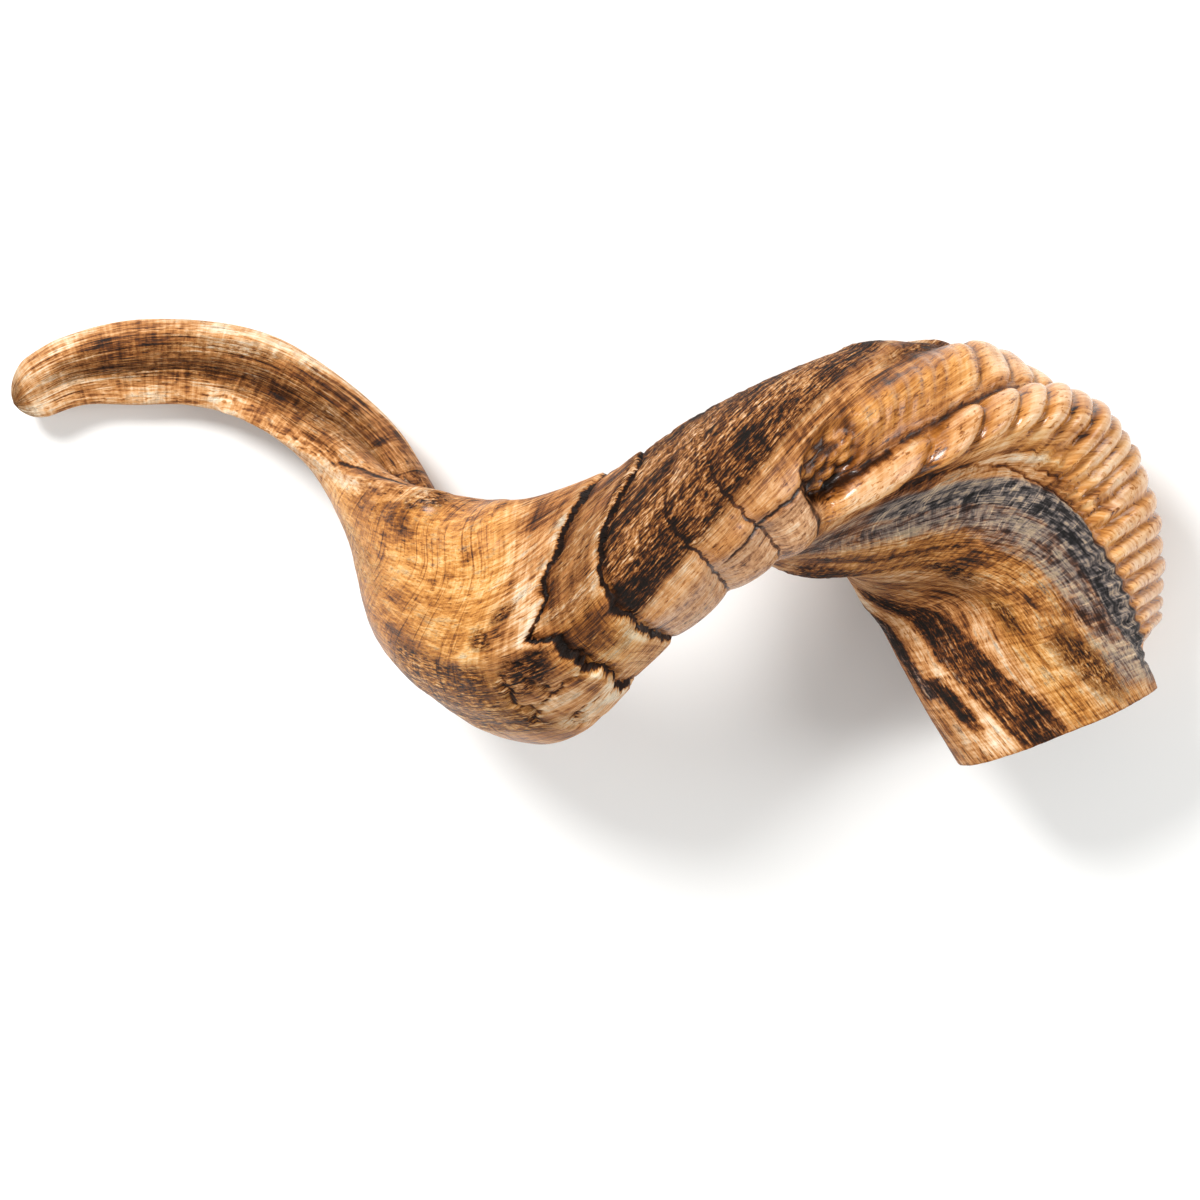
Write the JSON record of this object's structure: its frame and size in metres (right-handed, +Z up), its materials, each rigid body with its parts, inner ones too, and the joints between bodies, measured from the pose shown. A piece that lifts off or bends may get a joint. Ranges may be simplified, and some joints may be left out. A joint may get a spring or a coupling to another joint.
{
  "type": "sheep horn",
  "caption": "Natural sheep horn, a slow corkscrew with knobbed growth ridges along the keel, cracked mid-shaft ledges, a flat striped blade tip and a sawn hollow base.",
  "frame": {"origin": "centre of the bounding box, on the table the horn lies on", "axes": "+X along the horn's longest extent, from the blade tip to the sawn base; +Z up; the sawn base faces about -Y"},
  "size_m": [0.296, 0.1122, 0.094],
  "materials": {
    "keratin": null
  },
  "bodies": {
    "root": {"horn": "keratin"}
  },
  "joints": []
}
